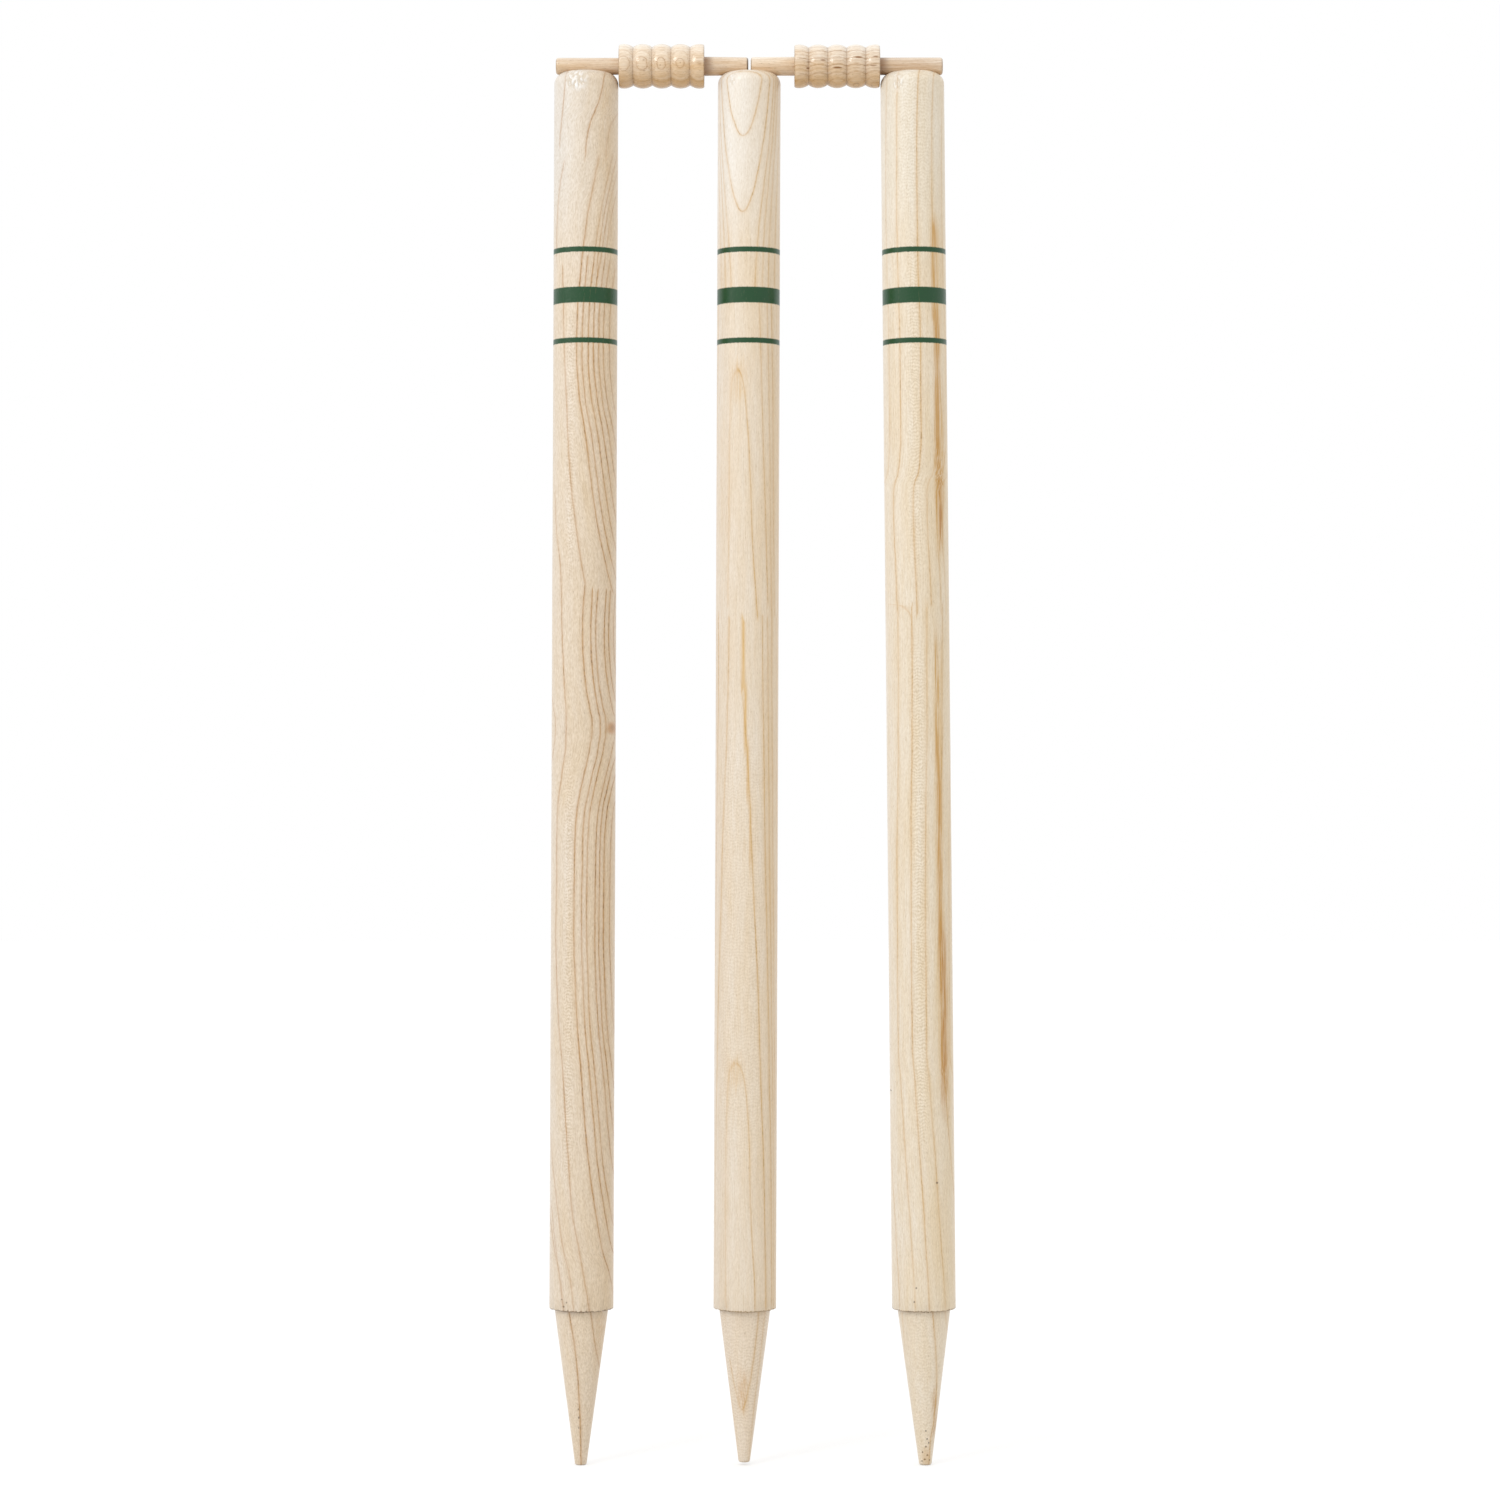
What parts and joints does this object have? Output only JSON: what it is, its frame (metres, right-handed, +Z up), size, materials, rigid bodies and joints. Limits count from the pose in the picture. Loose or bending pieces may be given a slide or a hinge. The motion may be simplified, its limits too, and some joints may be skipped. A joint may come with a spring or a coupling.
{
  "type": "cricket stumps",
  "caption": "Cricket wicket set up for play: turned wooden stumps with domed, grooved heads and pointed spikes, and beaded bails lying across the heads.",
  "frame": {"origin": "on the ground line, at the centre of the middle stump's foot, where its shoulder meets the turf", "axes": "+Z up along the stumps, +X along the wicket from the left stump to the right one, +Y away from the viewer, across the wicket"},
  "size_m": [0.2343, 0.037, 0.8185],
  "materials": {
    "stump_ash": "pale ash, turned, sanded and lightly lacquered to a satin sheen, with open-pored tan growth rings",
    "bail_ash": "turned hardwood, a shade browner than the stumps, lacquered satin"
  },
  "bodies": {
    "middle_stump": {"middle_stump": "stump_ash"},
    "left_stump": {"left_stump": "stump_ash"},
    "right_stump": {"right_stump": "stump_ash"},
    "left_bail": {"left_bail": "bail_ash"},
    "right_bail": {"right_bail": "bail_ash"}
  },
  "joints": [
    {"name": "left_stump_draw", "type": "slide", "parent": "middle_stump", "child": "left_stump", "axis": [0.004, 0, 1], "range_m": [0, 0.091]},
    {"name": "right_stump_draw", "type": "slide", "parent": "middle_stump", "child": "right_stump", "axis": [-0.0095, 0, 1], "range_m": [0, 0.091]},
    {"name": "left_bail_lift", "type": "slide", "parent": "left_stump", "child": "left_bail", "axis": [0, 0, 1], "range_m": [0, 0.06]},
    {"name": "right_bail_lift", "type": "slide", "parent": "right_stump", "child": "right_bail", "axis": [0, 0, 1], "range_m": [0, 0.06]}
  ]
}
